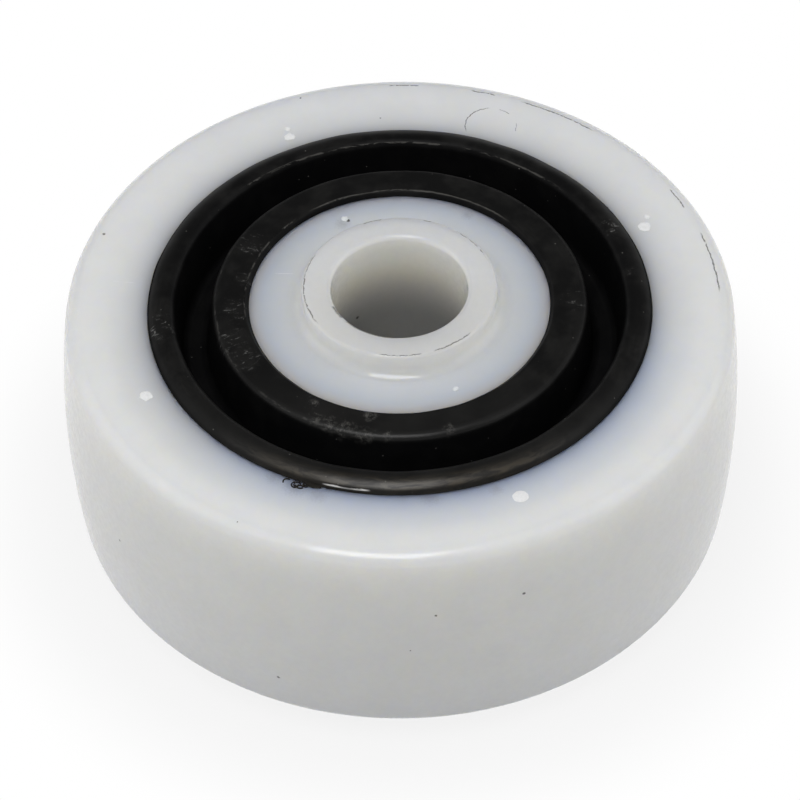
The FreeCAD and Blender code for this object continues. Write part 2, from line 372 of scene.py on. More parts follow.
def flash_curl(mesh, angle, reach, heading, bend, sweep):
    """Add one curl that lies on the tread ring's face: bend is its radius, sweep its part of a turn."""
    before = set(mesh.verts)
    upright = Matrix.Translation((bend, 0, 0)) @ Matrix.Rotation(math.pi / 2, 4, "X")
    ring = bmesh.ops.create_circle(
        mesh, cap_ends=False, segments=STRAND_SIDES, radius=STRAND_SIZE / 2, matrix=upright,
    )["verts"]
    ring_edges = [edge for edge in mesh.edges if edge.verts[0] not in before]
    bmesh.ops.spin(
        mesh, geom=ring + ring_edges, cent=(0, 0, 0), axis=(0, 0, 1), dvec=(0, 0, 0),
        angle=math.radians(sweep), steps=STRAND_STEPS, use_merge=False, use_duplicate=False,
    )
    ends = [edge for edge in mesh.edges if edge.is_boundary]
    bmesh.ops.holes_fill(mesh, edges=ends, sides=STRAND_SIDES)
    turned = Matrix.Rotation(math.radians(heading), 4, "Z") @ Matrix.Translation((-bend, 0, 0))
    new = [vert for vert in mesh.verts if vert not in before]
    bmesh.ops.transform(mesh, matrix=out_on_wheel(angle, reach, STRAND_LEVEL) @ turned, verts=new)


flash_mesh = bmesh.new()
for angle, reach, heading, bend, sweep in (
    (-115.2, 37.20, 160, 0.55, 150),
    (-114.4, 37.05, 60, 0.45, 240),
    (-113.8, 37.35, 200, 0.50, 270),
    (-113.1, 37.10, 20, 0.42, 300),
    (-112.5, 37.45, 120, 0.46, 250),
    (-111.9, 37.15, 250, 0.40, 290),
    (-111.3, 37.40, 330, 0.44, 260),
    (-110.7, 37.15, 80, 0.40, 280),
    (-113.4, 37.85, 300, 0.70, 110),
    (-111.6, 37.80, 140, 0.60, 100),
):
    flash_curl(flash_mesh, angle, reach * MM, heading, bend * MM, sweep)
print("curls of flash,", len(flash_mesh.faces), "faces")

# %% [markdown]
# ## A lump beside the curls
# Next to the curls a bit of rubber was pressed flat. It is a ball again, dented by noise and flattened. It
# joins the mesh of the curls, because all of it is one smear on the real wheel.

# %% Add the lump and finish the flash
LUMP_SIZE = Vector((1.0, 2.2, 0.6)) * MM
LUMP_ANGLE = -109.9
LUMP_REACH = 37.1 * MM
LUMP_DENTS = 0.5
LUMP_SCALE = 1.7

lump = bmesh.ops.create_icosphere(flash_mesh, subdivisions=3, radius=1)["verts"]
for vert in lump:
    vert.co *= 1 + LUMP_DENTS * noise.noise(vert.co * LUMP_SCALE)
bmesh.ops.scale(flash_mesh, vec=LUMP_SIZE / 2, verts=lump)
bmesh.ops.transform(flash_mesh, matrix=out_on_wheel(LUMP_ANGLE, LUMP_REACH, TREAD_FACE), verts=lump)
bmesh.ops.recalc_face_normals(flash_mesh, faces=flash_mesh.faces)
flash = finished_piece("rubber_flash", flash_mesh)

# %% [markdown]
# ## Nodes for the finishes
# A finish is a small program of shader nodes. It could be wired by hand in the shader editor. In a script a
# few helpers keep it readable: one gives an input a value or a link, one adds a node with its settings and
# inputs, and one starts a material.

# %% Helpers: nodes and materials
def plug(tree, socket, value):
    """Link a socket to an input, or set the input to a plain value."""
    if isinstance(value, bpy.types.NodeSocket):
        tree.links.new(value, socket)
    else:
        socket.default_value = value


def add_node(tree, kind, inputs=None, **settings):
    node = tree.nodes.new("ShaderNode" + kind)
    for name, value in settings.items():
        setattr(node, name, value)
    for name, value in (inputs or {}).items():
        plug(tree, node.inputs[name], value)
    return node


def new_finish(name):
    """A new material, with its node tree and its shader."""
    material = bpy.data.materials.new(name)
    material.use_nodes = True
    tree = material.node_tree
    return material, tree, tree.nodes["Principled BSDF"]


# %% [markdown]
# ## Arithmetic on masks
# A mask is a number from 0 to 1 that says how much of an effect a point gets. Masks are multiplied where all
# of them have to agree, and the strongest is taken where one is enough. A ramp eases a distance or a noise
# into a mask without a hard edge.

# %% Helpers: masks
def work_out(tree, operation, first, second=0.0, clamp=False):
    node = add_node(tree, "Math", operation=operation, use_clamp=clamp)
    plug(tree, node.inputs[0], first)
    plug(tree, node.inputs[1], second)
    return node.outputs[0]


def times(tree, product, *masks):
    """Several masks multiplied."""
    for mask in masks:
        product = work_out(tree, "MULTIPLY", product, mask)
    return product


def strongest(tree, most, *masks):
    """The strongest of several masks."""
    for mask in masks:
        most = work_out(tree, "MAXIMUM", most, mask)
    return most


def ramp(tree, value, low, high, to_low=0.0, to_high=1.0):
    """Ease a value from one range to another."""
    node = add_node(
        tree, "MapRange", interpolation_type="SMOOTHSTEP",
        inputs={"Value": value, "From Min": low, "From Max": high, "To Min": to_low, "To Max": to_high},
    )
    return node.outputs["Result"]


# %% [markdown]
# ## Vectors, noise and colours
# Places on the wheel are vectors, so there are helpers that add or scale them and that measure a length or a
# distance. Noise breaks up whatever would look too even, and a tint lays one colour over another by a mask.

# %% Helpers: vectors, noise and colours
MIX_BASE = 6
MIX_OTHER = 7
MIX_RESULT = 2


def vector_node(tree, operation, values):
    node = add_node(tree, "VectorMath", operation=operation)
    for socket, value in zip(node.inputs, values):
        plug(tree, socket, value)
    return node


def vector_of(tree, operation, *values):
    """A sum that gives a vector."""
    return vector_node(tree, operation, values).outputs["Vector"]


def measure(tree, operation, *values):
    """A sum on vectors that gives a number."""
    return vector_node(tree, operation, values).outputs["Value"]


def scaled(tree, vector, factor):
    node = vector_node(tree, "SCALE", [vector])
    plug(tree, node.inputs["Scale"], factor)
    return node.outputs["Vector"]


def noise_at(tree, place, scale, detail=3.0, roughness=0.55, curl=0.0):
    node = add_node(
        tree, "TexNoise",
        {"Vector": place, "Scale": scale, "Detail": detail, "Roughness": roughness, "Distortion": curl},
    )
    return node.outputs["Fac"]


def tint(tree, factor, base, other):
    """Lay one colour over another by a mask. The Mix node has sockets of its own for colours."""
    node = add_node(tree, "Mix", data_type="RGBA")
    plug(tree, node.inputs[0], factor)
    plug(tree, node.inputs[MIX_BASE], base)
    plug(tree, node.inputs[MIX_OTHER], other)
    return node.outputs[MIX_RESULT]


# %% [markdown]
# ## Node groups
# An effect that several finishes share is a node group: it is wired once and placed in each material with
# its own values. A group puts out only masks and values. The shader stays in the material.

# %% Helpers: node groups
def new_group(name, inputs, outputs):
    """An empty node group with named sockets. Returns it with its input and output nodes."""
    tree = bpy.data.node_groups.new(name, "ShaderNodeTree")
    for socket, kind in inputs:
        tree.interface.new_socket(socket, in_out="INPUT", socket_type="NodeSocket" + kind)
    for socket, kind in outputs:
        tree.interface.new_socket(socket, in_out="OUTPUT", socket_type="NodeSocket" + kind)
    return tree, tree.nodes.new("NodeGroupInput").outputs, tree.nodes.new("NodeGroupOutput").inputs


def place_group(tree, group, **inputs):
    """Put a group into a material. An input's name is written with _ for a space."""
    node = tree.nodes.new("ShaderNodeGroup")
    node.node_tree = group
    for name, value in inputs.items():
        plug(tree, node.inputs[name.replace("_", " ")], value)
    return node.outputs


# %% [markdown]
# ## Where a point lies on the wheel
# Nearly all marks on the wheel follow circles round the axle, so the first group turns Object coordinates
# into a place in millimetres, a distance from the axle, a height, and how far the point lies to the back. UV
# maps could do that too, but Object coordinates need no unwrapping and run on from one piece to the next.

# %% Group: place on the wheel
FLAT = (1, 1, 0)

wheel_place, _, place_out = new_group(
    "wheel_place", [], [("Place", "Vector"), ("Radius", "Float"), ("Height", "Float"), ("Back", "Float")]
)
place_mm = scaled(wheel_place, add_node(wheel_place, "TexCoord").outputs["Object"], 1 / MM)
axle_distance = measure(wheel_place, "LENGTH", vector_of(wheel_place, "MULTIPLY", place_mm, FLAT))
place_parts = add_node(wheel_place, "SeparateXYZ", {"Vector": place_mm}).outputs
plug(wheel_place, place_out["Place"], place_mm)
plug(wheel_place, place_out["Radius"], axle_distance)
plug(wheel_place, place_out["Height"], place_parts["Z"])
plug(wheel_place, place_out["Back"], place_parts["Y"])
print("group", wheel_place.name, len(wheel_place.nodes), "nodes")


def on_wheel(angle, reach, height):
    """A place in millimetres from an angle in degrees, a distance from the axle and a height."""
    turn = math.radians(angle)
    return (reach * math.cos(turn), reach * math.sin(turn), height)


# %% [markdown]
# ## Dashes along a circle
# The line where a flat face turns into a rounding gets rubbed, and dirt stays in it as broken dashes. The
# mask is a thin band round a centre, cut to a stretch of the circle and broken up by noise. The noise comes
# in from outside, because a material that makes it once for all its marks renders much faster.

# %% Group: broken dashes on a stretch of a circle
DASH_NOISE = (0.3, 0.7)
DASH_WAVER = 0.1
DASH_TAPER = (0.75, 1.0)
DASH_BREAK = 0.05

dashes, dash_in, dash_out = new_group(
    "circle_dashes",
    [("Place", "Vector"), ("Centre", "Vector"), ("Middle", "Vector"), ("Circle", "Float"),
     ("Half Width", "Float"), ("Reach", "Float"), ("Gaps", "Float"), ("Noise", "Float")],
    [("Mask", "Float")],
)
dash_from = vector_of(dashes, "SUBTRACT", dash_in["Place"], dash_in["Centre"])
dash_radius = measure(dashes, "LENGTH", vector_of(dashes, "MULTIPLY", dash_from, FLAT))
dash_waver = ramp(dashes, dash_in["Noise"], *DASH_NOISE, -DASH_WAVER, DASH_WAVER)
dash_wavy = work_out(dashes, "ADD", dash_radius, dash_waver)
dash_offset = work_out(dashes, "SUBTRACT", dash_wavy, dash_in["Circle"])
dash_along = vector_of(dashes, "SUBTRACT", dash_in["Place"], dash_in["Middle"])
dash_lift = add_node(dashes, "SeparateXYZ", {"Vector": dash_along}).outputs["Z"]
dash_section = add_node(dashes, "CombineXYZ", {"X": dash_offset, "Y": dash_lift}).outputs["Vector"]
dash_band = ramp(dashes, measure(dashes, "LENGTH", dash_section), 0.0, dash_in["Half Width"], 1.0, 0.0)
dash_share = work_out(dashes, "DIVIDE", measure(dashes, "LENGTH", dash_along), dash_in["Reach"])
dash_stretch = ramp(dashes, dash_share, *DASH_TAPER, 1.0, 0.0)
dash_whole = work_out(dashes, "SUBTRACT", dash_in["Noise"], dash_in["Gaps"])
dash_broken = ramp(dashes, dash_whole, -DASH_BREAK, DASH_BREAK)
plug(dashes, dash_out["Mask"], times(dashes, dash_band, dash_stretch, dash_broken))
print("group", dashes.name, len(dashes.nodes), "nodes")

# %% Place dashes from rows
DASH_SPARE = 0.4


def dash_marks(tree, place, grit, rows):
    """Dashes on circles: rows of centre, circle, height, first and last angle, half width and gaps."""
    masks = []
    for centre, circle, height, first, last, half_width, gaps in rows:
        flat_centre = Vector((centre[0], centre[1], 0))
        middle = flat_centre + Vector(on_wheel((first + last) / 2, circle, height))
        end = flat_centre + Vector(on_wheel(first, circle, height))
        masks.append(place_group(
            tree, dashes, Place=place, Centre=centre, Middle=middle, Circle=circle, Half_Width=half_width,
            Reach=(middle - end).length + DASH_SPARE, Gaps=gaps, Noise=grit,
        )["Mask"])
    return strongest(tree, *masks)


# %% [markdown]
# ## Blots
# Grains of black rubber dust cling to the white nylon, and a pale bloom comes out of the rubber in patches.
# Both are blots with a bent outline, small or large, so one group makes both: it measures from the middle of
# the blot in units of its size.

# %% Group: one blot
blots, blot_in, blot_out = new_group(
    "bent_blot",
    [("Place", "Vector"), ("Middle", "Vector"), ("Size", "Float"), ("Core", "Float"), ("Bend", "Vector")],
    [("Mask", "Float")],
)
blot_away = vector_of(blots, "SUBTRACT", blot_in["Place"], blot_in["Middle"])
blot_units = scaled(blots, blot_away, work_out(blots, "DIVIDE", 1.0, blot_in["Size"]))
blot_reach = measure(blots, "LENGTH", vector_of(blots, "ADD", blot_units, blot_in["Bend"]))
plug(blots, blot_out["Mask"], ramp(blots, blot_reach, blot_in["Core"], 1.0, 1.0, 0.0))
print("group", blots.name, len(blots.nodes), "nodes")

# %% Place blots from rows
NOISE_MIDDLE = (0.5, 0.5, 0.5)


def bend_at(tree, place, scale, amount):
    """A vector that wavers from place to place, to bend the outlines of blots."""
    wander = add_node(tree, "TexNoise", {"Vector": place, "Scale": scale}).outputs["Color"]
    return scaled(tree, vector_of(tree, "SUBTRACT", wander, NOISE_MIDDLE), amount)


def blot_marks(tree, place, bend, core, rows):
    """Blots at given places: rows of angle, distance from the axle, height and size."""
    return strongest(tree, *(
        place_group(
            tree, blots, Place=place, Middle=on_wheel(angle, reach, height), Size=size, Core=core, Bend=bend,
        )["Mask"]
        for angle, reach, height, size in rows
    ))


# %% [markdown]
# ## Scratches
# A scratch is a thin line from one place to another. The group finds the nearest point of that line, and
# noise lets the line skip.

# %% Group: one scratch
SKIP_NOISE = (0.4, 0.55)
SKIP_LEAST = 0.15

scratches, scratch_in, scratch_out = new_group(
    "straight_scratch",
    [("Place", "Vector"), ("From", "Vector"), ("To", "Vector"), ("Half Width", "Float"), ("Noise", "Float")],
    [("Mask", "Float")],
)
scratch_run = vector_of(scratches, "SUBTRACT", scratch_in["To"], scratch_in["From"])
scratch_away = vector_of(scratches, "SUBTRACT", scratch_in["Place"], scratch_in["From"])
scratch_along = work_out(
    scratches, "DIVIDE",
    measure(scratches, "DOT_PRODUCT", scratch_away, scratch_run),
    measure(scratches, "DOT_PRODUCT", scratch_run, scratch_run),
    clamp=True,
)
scratch_gap = measure(scratches, "DISTANCE", scratch_away, scaled(scratches, scratch_run, scratch_along))
scratch_line = ramp(scratches, scratch_gap, 0.0, scratch_in["Half Width"], 1.0, 0.0)
scratch_skip = ramp(scratches, scratch_in["Noise"], *SKIP_NOISE, SKIP_LEAST, 1.0)
plug(scratches, scratch_out["Mask"], times(scratches, scratch_line, scratch_skip))
print("group", scratches.name, len(scratches.nodes), "nodes")


def scratch_marks(tree, place, grit, rows):
    """Scratches between two places, each an angle, a distance from the axle and a height."""
    return strongest(tree, *(
        place_group(
            tree, scratches, Place=place, From=on_wheel(*first), To=on_wheel(*last),
            Half_Width=half_width, Noise=grit,
        )["Mask"]
        for first, last, half_width in rows
    ))


# %% [markdown]
# ## Nylon: the white and its painted shade beside the rubber
# Nylon is not plain white: light goes in, wanders a few millimetres and comes out again. Beside the black
# rubber, which swallows it, the white turns grey. A little further out it turns blue, because red light
# wanders furthest and is lost first. Subsurface scattering does part of this in the render. The rest is
# painted shade: a tint by distance from the rubber, which stays in a baked copy too. It is painted wider
# and bluer at the front of the wheel, to follow how the light falls there.

# %% Nylon: a halo of painted shade beside the rubber
STAIN_GREY = (0.40, 0.41, 0.44, 1)
CLOUD_SCALE = 0.16
CLOUD_NOISE = (0.3, 0.7)
CLOUD_STRENGTH = 0.05
FRONT_TO_BACK = (-28.0, 12.0)
HALO_ENDS = (5.0, 8.5)
BLUE_HEADING = (-0.35, 1.0, 0.0)
BLUE_FRONT = (-30.0, -8.0)
BLUE_GROWS = 2.4


def painted_shade_halo(tree, where, white, edge_grey, halo_blue, rubber_edge, fade, front_fade, blue_all_round,
               blue_from):
    """The white of the nylon, with a halo of painted shade that fades with the distance from the rubber.

    Its length in millimetres is fade at the back of the wheel and front_fade at the front. The blue starts
    at the distance blue_from, is full at the front, and is at least blue_all_round elsewhere.
    """
    cloud = noise_at(tree, where["Place"], CLOUD_SCALE)
    milk = tint(tree, ramp(tree, cloud, *CLOUD_NOISE, 0.0, CLOUD_STRENGTH), white, STAIN_GREY)
    away = work_out(tree, "ABSOLUTE", work_out(tree, "SUBTRACT", where["Radius"], rubber_edge))
    length = ramp(tree, where["Back"], *FRONT_TO_BACK, -front_fade, -fade)
    halo = work_out(tree, "EXPONENT", work_out(tree, "DIVIDE", away, length))
    halo = times(tree, halo, ramp(tree, away, *HALO_ENDS, 1.0, 0.0))
    aslant = measure(tree, "DOT_PRODUCT", where["Place"], BLUE_HEADING)
    blue = strongest(tree, ramp(tree, aslant, *BLUE_FRONT, 1.0, 0.0), blue_all_round)
    blue = times(tree, blue, ramp(tree, away, blue_from, blue_from + BLUE_GROWS))
    # Painted shade: a grey and blue tint over the white beside the rubber, wider and bluer at the front.
    return tint(tree, halo, milk, tint(tree, blue, edge_grey, halo_blue))


# %% [markdown]
# ## Nylon: boss and bore
# The end faces of the bosses catch more light than their walls, so painted shade dulls them, most at the
# front.
# Inside the bore a painted shade runs from warm near the mouth, where light shines through, to grey deeper
# in.

# %% Nylon: painted shade on the boss ends and in the bore
BOSS_MM = BOSS_END / MM
BOSS_END_SHADE = (0.705, 0.70, 0.68, 1)
BOSS_END_SHADE_DEPTH = (0.12, 0.35)
BOSS_END_SHADE_FRONT = (-10.0, 8.0)
BOSS_END_SHADE_LEAST = 0.15
BORE_WARM = (0.93, 0.915, 0.86, 1)
BORE_DEPTH_SHADE = (0.36, 0.357, 0.34, 1)
BORE_SHADE_DEPTHS = (3.0, 16.5)
BORE_EASING = 0.5


def boss_shade(tree, where, shade, bore):
    """Paint shade on the ends of the bosses and inside a bore of this radius."""
    depth = work_out(tree, "SUBTRACT", BOSS_MM, work_out(tree, "ABSOLUTE", where["Height"]))
    # Painted shade: the end faces of the bosses are toned down, most of all at the front.
    at_end = ramp(tree, depth, *BOSS_END_SHADE_DEPTH, 1.0, 0.0)
    at_front = ramp(tree, where["Back"], *BOSS_END_SHADE_FRONT, 1.0, BOSS_END_SHADE_LEAST)
    shade = tint(tree, times(tree, at_end, at_front), shade, BOSS_END_SHADE)
    # Painted shade inside the bore: warm near the mouth, grey deeper in.
    bore_shade = tint(tree, ramp(tree, depth, *BORE_SHADE_DEPTHS), BORE_WARM, BORE_DEPTH_SHADE)
    return tint(tree, ramp(tree, where["Radius"], bore + BORE_EASING, bore), shade, bore_shade)


# %% [markdown]
# ## Nylon: marks
# Three kinds of marks lie on the white: grey stains that noise makes patchy, pale scratches, and black dirt
# in dashes and specks. They are laid over each other in that order, because dirt comes last on the real
# wheel too.

# %% Nylon: stains, scratches and dirt
BEND_SCALE = 4.0
BEND_AMOUNT = 1.0
SCRATCH_WHITE = (0.95, 0.95, 0.95, 1)
SCRATCH_STRENGTH = 0.6
DIRT = (0.045, 0.042, 0.038, 1)
DIRT_STRENGTH = 0.9
STAIN_CORE = 0.0
SPECK_CORE = 0.4


def marked_shade(tree, place, grit, shade, dash_rows, speck_rows, stain_rows, scratch_rows):
    """Lay stains, scratches and dirt over a colour."""
    bend = bend_at(tree, place, BEND_SCALE, BEND_AMOUNT)
    stained = blot_marks(tree, place, bend, STAIN_CORE, stain_rows)
    shade = tint(tree, times(tree, stained, grit), shade, STAIN_GREY)
    scratched = scratch_marks(tree, place, grit, scratch_rows)
    shade = tint(tree, times(tree, scratched, SCRATCH_STRENGTH), shade, SCRATCH_WHITE)
    dashed = dash_marks(tree, place, grit, dash_rows)
    specks = blot_marks(tree, place, bend, SPECK_CORE, speck_rows)
    dirt = times(tree, strongest(tree, dashed, specks), DIRT_STRENGTH)
    return tint(tree, dirt, shade, DIRT)


# %% [markdown]
# ## Nylon: skin
# A moulding has a skin that is glossier than what lies under it. A clear coat stands for the skin. It is
# patchy from handling, and duller on one side of a circle than on the other, because a polished part of the
# mould left it smooth.

# %% Nylon: roughness and gloss
GRAIN_SCALE = 0.8
GRAIN_DETAIL = 3.0
GRAIN_ROUGHNESS = 0.5
GRAIN_NOISE = (0.25, 0.75)
SKIN_ROUGHNESS = (0.36, 0.46)
SKIN_BUMP = 0.02
SKIN_DEPTH = 0.1 * MM
GLOSS_NOISE = (0.3, 0.7)
DULL_SHARE = 0.35
WORN_SHARE = 0.6


def nylon_skin(tree, shader, where, grit, gloss, dull_at, polished_at):
    """Give the shader a skin whose gloss changes between two distances from the axle."""
    grain = noise_at(tree, where["Place"], GRAIN_SCALE, GRAIN_DETAIL, GRAIN_ROUGHNESS)
    plug(tree, shader.inputs["Roughness"], ramp(tree, grain, *GRAIN_NOISE, *SKIN_ROUGHNESS))
    patchy = ramp(tree, grit, *GLOSS_NOISE, gloss, WORN_SHARE * gloss)
    polish = ramp(tree, where["Radius"], dull_at, polished_at, DULL_SHARE, 1.0)
    plug(tree, shader.inputs["Coat Weight"], times(tree, patchy, polish))
    bump = add_node(tree, "Bump", {"Height": grain, "Strength": SKIN_BUMP, "Distance": SKIN_DEPTH})
    plug(tree, shader.inputs["Normal"], bump.outputs["Normal"])


# %% [markdown]
# ## Nylon: the whole finish
# The parts above make one finish, which tread and hub use with their own values. What is the same all over
# the surface sits directly on the shader's sockets: how far light wanders inside, and the gloss of the coat.

# %% Nylon: put the parts together
GRIT_SCALE = 0.9
GRIT_DETAIL = 4.0
GRIT_ROUGHNESS = 0.7
NYLON_BODY = {
    "Coat Roughness": 0.06,
    "Specular IOR Level": 0.25,
    "IOR": 1.53,
    "Subsurface Weight": 1.0,
    "Subsurface Radius": (1.0, 0.9, 0.66),
    "Subsurface Scale": 13.0 * MM,
}


def nylon(name, halo, skin, marks, bore=None):
    """Milky white nylon. Its halo, its skin and its marks are sets of named values."""
    material, tree, shader = new_finish(name)
    where = place_group(tree, wheel_place)
    grit = noise_at(tree, where["Place"], GRIT_SCALE, GRIT_DETAIL, GRIT_ROUGHNESS)
    shade = painted_shade_halo(tree, where, **halo)
    if bore:
        shade = boss_shade(tree, where, shade, bore)
    plug(tree, shader.inputs["Base Color"], marked_shade(tree, where["Place"], grit, shade, **marks))
    nylon_skin(tree, shader, where, grit, **skin)
    for socket, value in NYLON_BODY.items():
        shader.inputs[socket].default_value = value
    print(name, len(tree.nodes), "nodes")
    return material


# %% [markdown]
# ## Nylon of the tread ring
# The rim was handled most. Dirt dashes sit on the line where its side face turns into the rounded corner,
# an ejector pin of the mould left a faint circle, and specks of rubber stick to the tread. Each row gives a
# mark's place on the wheel, so that it stays there from every side.

# %% Make the tread's nylon
FACE_MM = TREAD_FACE / MM
AXLE = (0.0, 0.0, 0.0)
RIM_CIRCLE = 46.92
SEAT_CIRCLE = RUBBER_OUTSIDE / MM + 0.12
PIN_MARK = on_wheel(69.24, 40.23, FACE_MM)
PIN_CIRCLE = 3.9

tread_painted_halo = {
    "white": (0.86, 0.865, 0.85, 1),
    "edge_grey": (0.55, 0.55, 0.535, 1),
    "halo_blue": (0.44, 0.515, 0.655, 1),
    "rubber_edge": RUBBER_OUTSIDE / MM,
    "fade": 2.0,
    "front_fade": 3.7,
    "blue_all_round": 0.12,
    "blue_from": -1.6,
}
tread_marks = {
    "dash_rows": [
        (AXLE, RIM_CIRCLE, FACE_MM, 86.0, 91.1, 0.14, 0.45),
        (AXLE, RIM_CIRCLE, FACE_MM, 71.5, 75.6, 0.17, 0.4),
        (AXLE, RIM_CIRCLE, FACE_MM, 50.5, 66.1, 0.16, 0.43),
        (AXLE, RIM_CIRCLE, FACE_MM, 24.7, 29.5, 0.16, 0.4),
        (AXLE, RIM_CIRCLE, FACE_MM, 2.3, 17.7, 0.17, 0.38),
        # This row draws a dark broken line in the white along the foot of the rubber at the front.
        (AXLE, SEAT_CIRCLE, FACE_MM, -118.0, -103.0, 0.3, 0.5),
        (PIN_MARK, PIN_CIRCLE, FACE_MM, 93.0, 194.0, 0.11, 0.35),
        (PIN_MARK, PIN_CIRCLE, FACE_MM, 46.0, 64.0, 0.06, 0.45),
        (PIN_MARK, PIN_CIRCLE, FACE_MM, -14.0, 4.0, 0.06, 0.45),
    ],
    "speck_rows": [
        (160.3, 46.5, FACE_MM, 0.3),
        (223.2, 49.0, 17.7, 0.25),
        (240.8, 47.35, FACE_MM, 0.16),
        (214.8, 50.0, -0.3, 0.25),
        (275.1, 49.8, 7.0, 0.28),
        (289.8, 49.75, 8.2, 0.3),
        (248.4, 49.6, -10.5, 0.32),
        (270.9, 50.0, -0.2, 0.16),
        (93.6, 39.8, FACE_MM, 0.16),
        (108.3, 46.8, FACE_MM, 0.2),
    ],
    "stain_rows": [
        (-113.0, 38.0, FACE_MM, 2.6),
        (-108.0, 38.4, FACE_MM, 2.0),
        (-118.5, 37.6, FACE_MM, 1.8),
        (-70.0, 38.2, FACE_MM, 1.6),
        (-84.0, 37.4, FACE_MM, 2.2),
    ],
    "scratch_rows": [
        ((172.0, 42.5, FACE_MM), (172.0, 39.2, FACE_MM), 0.12),
        ((-31.5, 49.9, 4.8), (-24.9, 49.85, -6.1), 0.14),
    ],
}
tread_skin = {"gloss": 0.82, "dull_at": 46.0, "polished_at": 47.2}
tread.data.materials.append(nylon("nylon_of_the_tread", tread_painted_halo, tread_skin, tread_marks))

# %% [markdown]
# ## Nylon of the hub
# The hub is a little darker than the rim, and its halo of painted shade reaches from the rubber nearly to
# the boss, a little wider at the back. Dirt sits on the edge of the boss and on the lip of the bore, where
# hands and axles touch it.

# %% Make the hub's nylon
DISC_MM = DISC_FACE / MM
BOSS_CIRCLE = 13.95
BORE_LIP_LEFT = (10.33, BOSS_MM - 0.15)
BORE_LIP_FRONT = (10.31, BOSS_MM - 0.16)

hub_painted_halo = {
    "white": (0.79, 0.792, 0.778, 1),
    "edge_grey": (0.64, 0.615, 0.58, 1),
    "halo_blue": (0.52, 0.58, 0.65, 1),
    "rubber_edge": RUBBER_INSIDE / MM,
    "fade": 4.6,
    "front_fade": 4.2,
    "blue_all_round": 1.0,
    "blue_from": 0.0,
}
hub_marks = {
    "dash_rows": [
        (AXLE, BOSS_CIRCLE, BOSS_MM, 150.0, 212.0, 0.17, 0.38),
        (AXLE, BOSS_CIRCLE, BOSS_MM, 101.0, 111.0, 0.16, 0.4),
        (AXLE, BOSS_CIRCLE, BOSS_MM, 27.0, 52.0, 0.17, 0.41),
        (AXLE, BOSS_CIRCLE, BOSS_MM, 64.0, 74.0, 0.14, 0.44),
        (AXLE, BOSS_CIRCLE, BOSS_MM, 258.0, 282.0, 0.13, 0.42),
        (AXLE, BOSS_CIRCLE, BOSS_MM, 291.0, 316.0, 0.16, 0.4),
        (AXLE, *BORE_LIP_LEFT, 203.0, 215.0, 0.5, 0.25),
        (AXLE, *BORE_LIP_FRONT, 221.0, 268.0, 0.4, 0.36),
    ],
    "speck_rows": [
        (129.3, 10.0, 7.7, 0.36),
        (113.6, 18.6, DISC_MM, 0.38),
    ],
    "stain_rows": [
        (117.0, 18.4, DISC_MM, 1.6),
        (60.0, 20.6, DISC_MM, 1.4),
    ],
    "scratch_rows": [
        ((161.0, 19.2, DISC_MM), (158.4, 16.8, DISC_MM), 0.12),
    ],
}
hub_skin = {"gloss": 1.0, "dull_at": 17.0, "polished_at": 16.2}
hub.data.materials.append(nylon("nylon_of_the_hub", hub_painted_halo, hub_skin, hub_marks, BORE_RADIUS / MM))

# %% [markdown]
# ## Scar white
# Where a sprue was torn off, the nylon has gone cloudy: it scatters light at once, so it is duller than the
# skin around it and lets none through. The scars of the rim are bright white, those of the hub bluer. A scar
# is sunk into the nylon, and there it would block the light that wanders about, so it casts no shadow and
# diffuse rays pass it by.

# %% Make the scar finish
TREAD_SCAR = (0.94, 0.945, 0.95, 1)
HUB_SCAR = (0.80, 0.825, 0.84, 1)
HUB_TO_TREAD = (20.0, 36.0)
TORN_SCALE = 3.5
TORN_DETAIL = 4.0
TORN_NOISE = (0.35, 0.65)
TORN_STAIN = 0.1
DULL_NOISE = (0.3, 0.7)
TORN_ROUGHNESS = (0.5, 0.7)

scar_white, scar_tree, scar_shader = new_finish("torn_nylon")
scar_where = place_group(scar_tree, wheel_place)
scar_grain = noise_at(scar_tree, scar_where["Place"], TORN_SCALE, TORN_DETAIL)
scar_shade = tint(scar_tree, ramp(scar_tree, scar_where["Radius"], *HUB_TO_TREAD), HUB_SCAR, TREAD_SCAR)
scar_mottle = ramp(scar_tree, scar_grain, *TORN_NOISE, 0.0, TORN_STAIN)
plug(scar_tree, scar_shader.inputs["Base Color"], tint(scar_tree, scar_mottle, scar_shade, STAIN_GREY))
plug(scar_tree, scar_shader.inputs["Roughness"], ramp(scar_tree, scar_grain, *DULL_NOISE, *TORN_ROUGHNESS))
for scar in scars:
    scar.data.materials.append(scar_white)
    scar.visible_shadow = False
    scar.visible_diffuse = False
print(scar_white.name, "on", len(scars), "scars")

# %% [markdown]
# ## Rubber: black
# The rubber is a satin black that swallows nearly all light. What hands and floors touch, the two lips and
# the shoulder, is a trace greyer than the groove. A mask of the touched places is made first, because other
# effects need it too.

# %% Rubber: the touched lips
RUBBER_BLACK = (0.0042, 0.0042, 0.0045, 1)
LIP_GREY = (0.0074, 0.0074, 0.0074, 1)
LIP_MM = LIP_LEVEL / MM
TOUCHED_HEIGHT = (LIP_MM - 1.4, LIP_MM - 0.05)
TOUCHED_SHOULDER = (34.2, 34.8)
HUB_SIDE = (22.2, 22.6)
INNER_LIP_ENDS = (27.5, 29.5)
OUTER_LIP_RISES = (33.0, 35.6)
OUTER_LIP_SHARES = (0.45, 0.85)

black_rubber, rubber_tree, rubber_shader = new_finish("satin_black_rubber")
rubber_where = place_group(rubber_tree, wheel_place)
rubber_place = rubber_where["Place"]
rubber_radius = rubber_where["Radius"]

